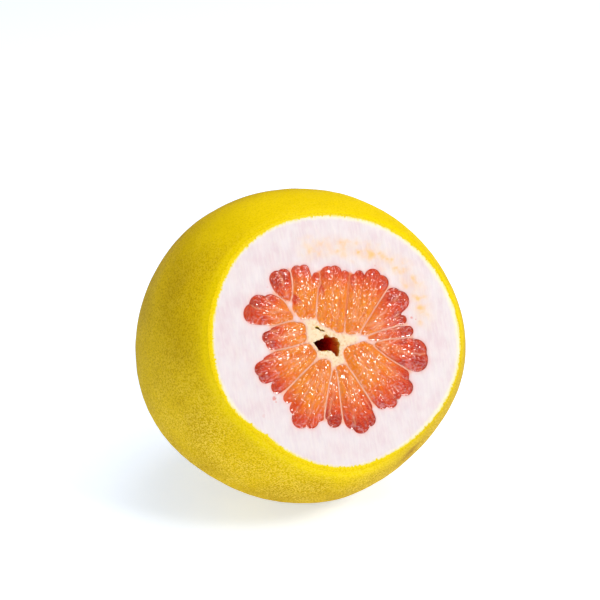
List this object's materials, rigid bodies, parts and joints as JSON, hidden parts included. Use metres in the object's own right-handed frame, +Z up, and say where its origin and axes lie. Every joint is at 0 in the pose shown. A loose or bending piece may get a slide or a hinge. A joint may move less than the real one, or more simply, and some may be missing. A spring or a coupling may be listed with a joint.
{
  "type": "cut pink pomelo",
  "caption": "Pink pomelo with its stem end sliced off, resting on its side to show white pith and pink juice sacs round an open core.",
  "frame": {"origin": "centre of the bottom of the bounding box, on the surface that the fruit rests on", "axes": "+Z up; the sliced face looks towards -Y and 24 degrees up; +X is to the right as one faces the slice"},
  "size_m": [0.151, 0.1481, 0.1492],
  "materials": {
    "rind": "waxy, fine oil glands",
    "pith": "soft, matt, knife marks",
    "pulp": "wet, translucent juice sacs"
  },
  "bodies": {
    "root": {"rind": "rind", "pith": "pith", "segment_01": "pulp", "segment_02": "pulp", "segment_03": "pulp", "segment_04": "pulp", "segment_05": "pulp", "segment_06": "pulp", "segment_07": "pulp", "segment_08": "pulp", "segment_09": "pulp", "segment_10": "pulp", "segment_11": "pulp", "segment_12": "pulp", "segment_13": "pulp", "segment_14": "pulp"}
  },
  "joints": []
}
